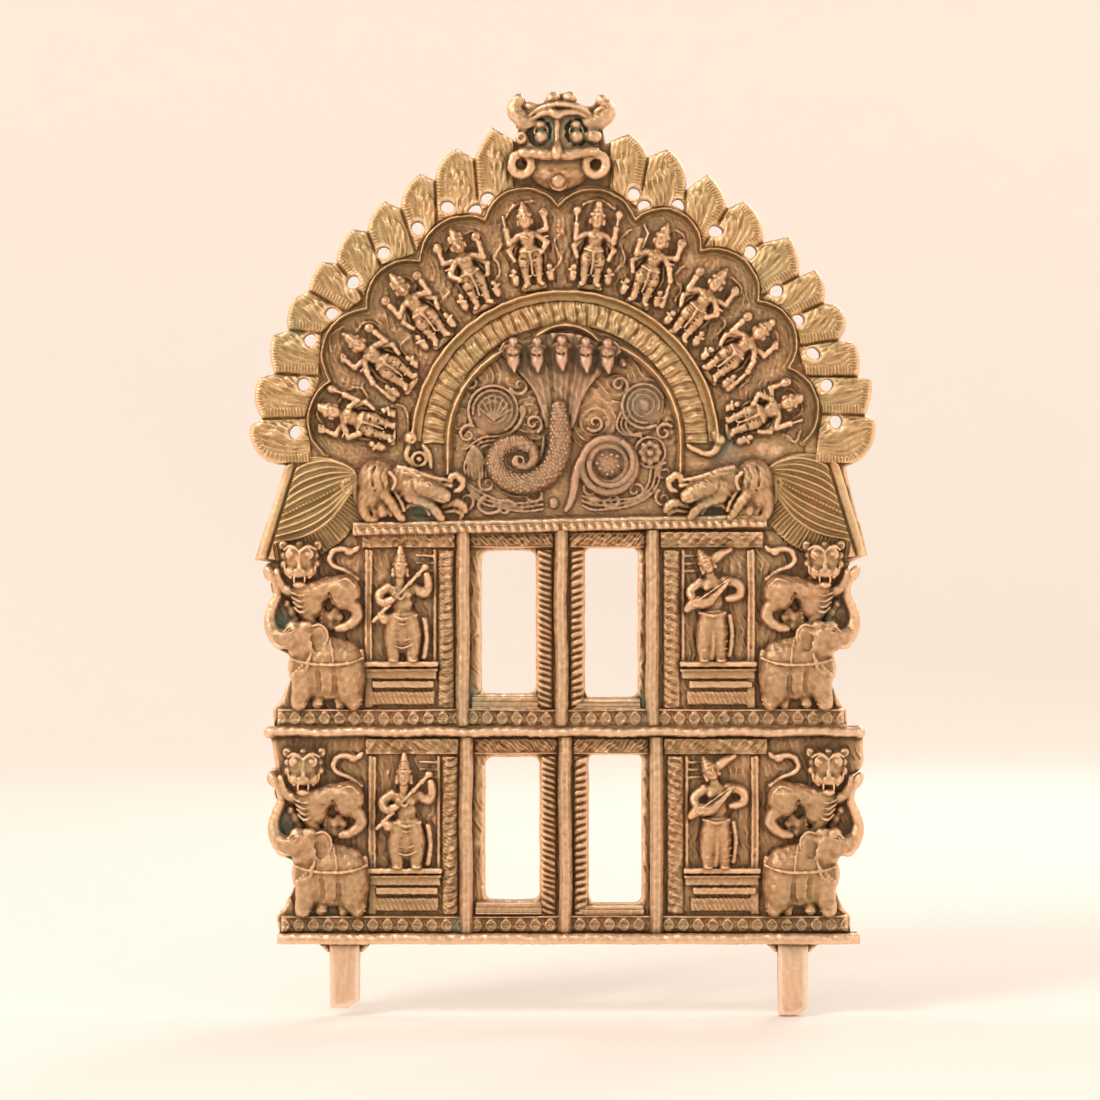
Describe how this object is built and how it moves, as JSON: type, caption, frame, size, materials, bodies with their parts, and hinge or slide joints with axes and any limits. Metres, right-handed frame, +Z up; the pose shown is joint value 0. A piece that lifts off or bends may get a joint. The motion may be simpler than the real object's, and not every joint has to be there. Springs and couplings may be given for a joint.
{
  "type": "prabhavali",
  "caption": "Arched brass backplate for a shrine image: pierced flame border, lion mask, avatars and serpent in the arch, windowed pillar tiers with guardian beasts, and tenons below.",
  "frame": {"origin": "middle of the base bar's underside, level with the middle of the tenons' thickness", "axes": "+Z up the plate, +X to the right as seen from the front, decorated face looks along -Y"},
  "size_m": [0.25, 0.015, 0.3688],
  "materials": {
    "aged_brass": "hand-cast brass with brown patina in the recesses and rubbed high points",
    "golden_brass": "cast brass, more golden, with dark grooves",
    "dusty_brass": "dull brass with verdigris in the recesses",
    "bar_brass": "pinkish, smeared and filed brass",
    "filed_brass": "coarsely filed brass"
  },
  "bodies": {
    "root": {"arch_moulding_inner": "golden_brass", "arch_moulding_outer": "golden_brass", "arch_plate": "aged_brass", "avatar_01": "aged_brass", "avatar_02": "aged_brass", "avatar_03": "aged_brass", "avatar_04": "aged_brass", "avatar_05": "aged_brass", "avatar_06": "aged_brass", "avatar_07": "aged_brass", "avatar_08": "aged_brass", "avatar_09": "aged_brass", "avatar_10": "aged_brass", "base_bar": "bar_brass", "flame_border_left": "golden_brass", "flame_border_right": "golden_brass", "kirtimukha_mask": "aged_brass", "lintel_bar": "bar_brass", "lower_tier_elephant_left": "aged_brass", "lower_tier_elephant_right": "aged_brass", "lower_tier_frieze": "aged_brass", "lower_tier_ledge": "bar_brass", "lower_tier_musician_left": "aged_brass", "lower_tier_musician_right": "aged_brass", "lower_tier_niche_left": "aged_brass", "lower_tier_niche_right": "aged_brass", "lower_tier_plate": "aged_brass", "lower_tier_rails": "aged_brass", "lower_tier_rope_strips": "aged_brass", "lower_tier_yali_left": "aged_brass", "lower_tier_yali_right": "aged_brass", "makara_left": "aged_brass", "makara_right": "aged_brass", "makara_tail_left": "aged_brass", "makara_tail_right": "aged_brass", "naga_coil_left": "dusty_brass", "naga_coil_right": "dusty_brass", "naga_heads": "dusty_brass", "naga_hood": "dusty_brass", "ribbed_arch_band": "golden_brass", "scallop_rim": "golden_brass", "scroll_foliage_left": "dusty_brass", "scroll_foliage_right": "dusty_brass", "tenon_left": "filed_brass", "tenon_right": "filed_brass", "upper_tier_elephant_left": "aged_brass", "upper_tier_elephant_right": "aged_brass", "upper_tier_frieze": "aged_brass", "upper_tier_ledge": "bar_brass", "upper_tier_musician_left": "aged_brass", "upper_tier_musician_right": "aged_brass", "upper_tier_niche_left": "aged_brass", "upper_tier_niche_right": "aged_brass", "upper_tier_plate": "aged_brass", "upper_tier_rails": "aged_brass", "upper_tier_rope_strips": "aged_brass", "upper_tier_yali_left": "aged_brass", "upper_tier_yali_right": "aged_brass"}
  },
  "joints": []
}
